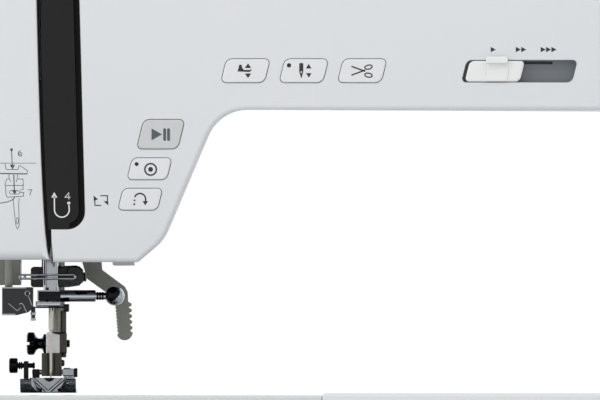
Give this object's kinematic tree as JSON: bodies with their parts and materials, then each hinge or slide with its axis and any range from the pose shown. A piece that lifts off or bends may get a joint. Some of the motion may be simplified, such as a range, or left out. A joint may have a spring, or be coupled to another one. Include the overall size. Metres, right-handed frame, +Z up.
{
  "type": "sewing machine",
  "caption": "Electronic home sewing machine with a wide throat, drop-in bobbin, pull-off extension table, front push buttons, speed slider, touch screen, lifting lid and folding handle",
  "frame": {"origin": "on the table top, under the middle of the machine's width and depth", "axes": "+X to the right along the bed towards the handwheel, +Y to the back, +Z up"},
  "size_m": [0.565, 0.22, 0.305],
  "materials": {
    "white_cover": "satin moulded",
    "black_channel": "gloss moulded",
    "grey_pan": "matte moulded",
    "clear_cover": "clear moulded",
    "rubber_foot": "matte",
    "cast_frame": "die cast",
    "screen": "gloss",
    "board": "solder mask",
    "plate_steel": "brushed",
    "chrome_part": "polished",
    "black_steel": "black oxide",
    "motor_steel": "painted",
    "belt": "matte",
    "lamp_lens": "frosted",
    "olive_plastic": "matte moulded",
    "black_plastic": "gloss moulded",
    "button_white": "satin moulded"
  },
  "bodies": {
    "machine": {"front_cover": "white_cover", "rear_cover": "white_cover", "face_cover": "white_cover", "thread_channel": "black_channel", "base_cover": "white_cover", "base_pan": "grey_pan", "free_arm_cover": "white_cover", "rubber_feet": "rubber_foot", "main_frame": "cast_frame", "top_tray": "white_cover", "lcd_window": "screen", "circuit_boards": "board", "needle_plate": "plate_steel", "housing_screws": "chrome_part", "lower_thread_guide": "chrome_part", "needle_bar_bracket": "black_steel", "led_lamp": "lamp_lens", "motor": "motor_steel", "drive_belts": "belt", "tension_unit": "chrome_part", "connector_panel": "black_plastic", "bobbin_case": "black_plastic", "bobbin_cover": "clear_cover", "spool_pin": "white_cover"},
    "lid": {"top_cover": "white_cover"},
    "handle": {"carry_handle": "white_cover"},
    "table": {"extension_table": "white_cover"},
    "door": {"accessory_door": "white_cover"},
    "drive": {"arm_shaft": "plate_steel", "handwheel": "white_cover"},
    "lower": {"lower_shaft": "plate_steel"},
    "rotor": {"motor_pulley": "plate_steel"},
    "hook": {"rotary_hook": "chrome_part"},
    "link": {"connecting_link": "black_steel"},
    "needle_bar_body": {"needle_bar": "chrome_part", "needle_clamp": "chrome_part", "needle": "chrome_part"},
    "clamp_screw": {"needle_clamp_screw": "chrome_part"},
    "presser": {"presser_bar": "plate_steel", "presser_foot_holder": "black_steel", "presser_spring": "plate_steel"},
    "foot_screw": {"holder_screw": "chrome_part"},
    "foot": {"presser_foot": "chrome_part"},
    "level_button": {"foot_level_button": "black_plastic"},
    "lever": {"presser_lever": "olive_plastic"},
    "threader": {"needle_threader": "black_plastic", "threader_lever": "white_cover"},
    "buttonhole": {"buttonhole_lever": "olive_plastic"},
    "take_up": {"take_up_lever": "chrome_part"},
    "feed": {"feed_dog": "plate_steel"},
    "bobbin_body": {"bobbin": "clear_cover"},
    "key_presser": {"presser_button": "button_white"},
    "key_needle": {"needle_button": "button_white"},
    "key_cutter": {"cutter_button": "button_white"},
    "key_start": {"start_button": "button_white"},
    "key_tie_off": {"tie_off_button": "button_white"},
    "key_reverse": {"reverse_button": "button_white"},
    "slider": {"speed_slider": "white_cover"},
    "power": {"power_switch": "black_plastic"},
    "winder": {"bobbin_winder": "white_cover"}
  },
  "joints": [
    {"name": "lid_hinge", "type": "hinge", "parent": "machine", "child": "lid", "pos_m": [0, 0.1018, 0.2912], "axis": [-1, 0, 0], "range_deg": [0, 85]},
    {"name": "handle_hinge", "type": "hinge", "parent": "machine", "child": "handle", "pos_m": [0, 0.096, 0.295], "axis": [-1, 0, 0], "range_deg": [0, 90]},
    {"name": "table_slide", "type": "slide", "parent": "machine", "child": "table", "axis": [-1, 0, 0], "range_m": [0, 0.2]},
    {"name": "door_hinge", "type": "hinge", "parent": "table", "child": "door", "pos_m": [-0.191, -0.10875, 0.01825], "axis": [1, 0, 0], "range_deg": [0, 85]},
    {"name": "handwheel_turn", "type": "hinge", "parent": "machine", "child": "drive", "pos_m": [0, 0.04, 0.232], "axis": [1, 0, 0], "continuous": true},
    {"name": "lower_shaft_turn", "type": "hinge", "parent": "machine", "child": "lower", "pos_m": [0, 0.033, 0.042], "axis": [1, 0, 0], "continuous": true},
    {"name": "motor_turn", "type": "hinge", "parent": "machine", "child": "rotor", "pos_m": [0, 0.038, 0.116], "axis": [1, 0, 0], "continuous": true},
    {"name": "hook_turn", "type": "hinge", "parent": "machine", "child": "hook", "pos_m": [-0.1975, 0.02, 0.06], "axis": [0, 0, 1], "continuous": true},
    {"name": "link_turn", "type": "hinge", "parent": "drive", "child": "link", "pos_m": [-0.1862, 0.05386, 0.24], "axis": [1, 0, 0], "continuous": true},
    {"name": "needle_bar_slide", "type": "slide", "parent": "machine", "child": "needle_bar_body", "axis": [0, 0, 1], "range_m": [-0.024, 0.008]},
    {"name": "clamp_screw_turn", "type": "hinge", "parent": "needle_bar_body", "child": "clamp_screw", "pos_m": [-0.1875, 0.04, 0.1212], "axis": [1, 0, 0], "continuous": true},
    {"name": "presser_lever_turn", "type": "hinge", "parent": "machine", "child": "lever", "pos_m": [-0.182, 0.0635, 0.142], "axis": [0, -1, 0], "range_deg": [0, 45]},
    {"name": "presser_lift", "type": "slide", "parent": "machine", "child": "presser", "axis": [0, 0, 1], "range_m": [0, 0.006], "deforming": ["presser_spring"]},
    {"name": "holder_screw_turn", "type": "hinge", "parent": "presser", "child": "foot_screw", "pos_m": [-0.2025, 0.056, 0.1025], "axis": [1, 0, 0], "continuous": true},
    {"name": "presser_foot_rock", "type": "hinge", "parent": "presser", "child": "foot", "pos_m": [-0.1975, 0.0545, 0.0912], "axis": [-1, 0, 0], "range_deg": [-1, 8]},
    {"name": "level_button_push", "type": "slide", "parent": "foot", "child": "level_button", "axis": [1, 0, 0], "range_m": [0, 0.0014], "stiffness_N_per_m": 200},
    {"name": "threader_slide", "type": "slide", "parent": "machine", "child": "threader", "axis": [0, 0, -1], "range_m": [0, 0.012], "stiffness_N_per_m": 30, "springref_m": -0.02},
    {"name": "buttonhole_slide", "type": "slide", "parent": "machine", "child": "buttonhole", "axis": [0, 0, -1], "range_m": [0, 0.03]},
    {"name": "take_up_swing", "type": "hinge", "parent": "machine", "child": "take_up", "pos_m": [-0.2005, 0.03, 0.24], "axis": [1, 0, 0], "range_deg": [0, 80]},
    {"name": "feed_slide", "type": "slide", "parent": "machine", "child": "feed", "axis": [0, 1, 0], "range_m": [-0.0025, 0.0025]},
    {"name": "bobbin_spin", "type": "hinge", "parent": "machine", "child": "bobbin_body", "pos_m": [-0.1975, 0.02, 0.062], "axis": [0, 0, 1], "continuous": true},
    {"name": "presser_button_push", "type": "slide", "parent": "machine", "child": "key_presser", "axis": [0, 1, 0], "range_m": [0, 0.0012], "stiffness_N_per_m": 400},
    {"name": "needle_button_push", "type": "slide", "parent": "machine", "child": "key_needle", "axis": [0, 1, 0], "range_m": [0, 0.0012], "stiffness_N_per_m": 400},
    {"name": "cutter_button_push", "type": "slide", "parent": "machine", "child": "key_cutter", "axis": [0, 1, 0], "range_m": [0, 0.0012], "stiffness_N_per_m": 400},
    {"name": "start_button_push", "type": "slide", "parent": "machine", "child": "key_start", "axis": [0, 1, 0], "range_m": [0, 0.0012], "stiffness_N_per_m": 400},
    {"name": "tie_off_button_push", "type": "slide", "parent": "machine", "child": "key_tie_off", "axis": [0, 1, 0], "range_m": [0, 0.0012], "stiffness_N_per_m": 400},
    {"name": "reverse_button_push", "type": "slide", "parent": "machine", "child": "key_reverse", "axis": [0, 1, 0], "range_m": [0, 0.0012], "stiffness_N_per_m": 400},
    {"name": "speed_slide", "type": "slide", "parent": "machine", "child": "slider", "axis": [1, 0, 0], "range_m": [0, 0.02]},
    {"name": "power_rock", "type": "hinge", "parent": "machine", "child": "power", "pos_m": [0.2635, 0.064, 0.051], "axis": [0, 1, 0], "range_deg": [-8, 8]},
    {"name": "winder_spin", "type": "hinge", "parent": "machine", "child": "winder", "pos_m": [0.1845, 0.04, 0.27], "axis": [0, 0, 1], "continuous": true}
  ],
  "couplings": [
    {"joint": "lower_shaft_turn", "follows": "handwheel_turn", "ratio": 1},
    {"joint": "motor_turn", "follows": "handwheel_turn", "ratio": 3.25},
    {"joint": "hook_turn", "follows": "handwheel_turn", "ratio": 2},
    {"joint": "link_turn", "follows": "handwheel_turn", "ratio": -1},
    {"joint": "presser_lever_turn", "follows": "presser_lift", "rad_per_m": 130.89}
  ]
}
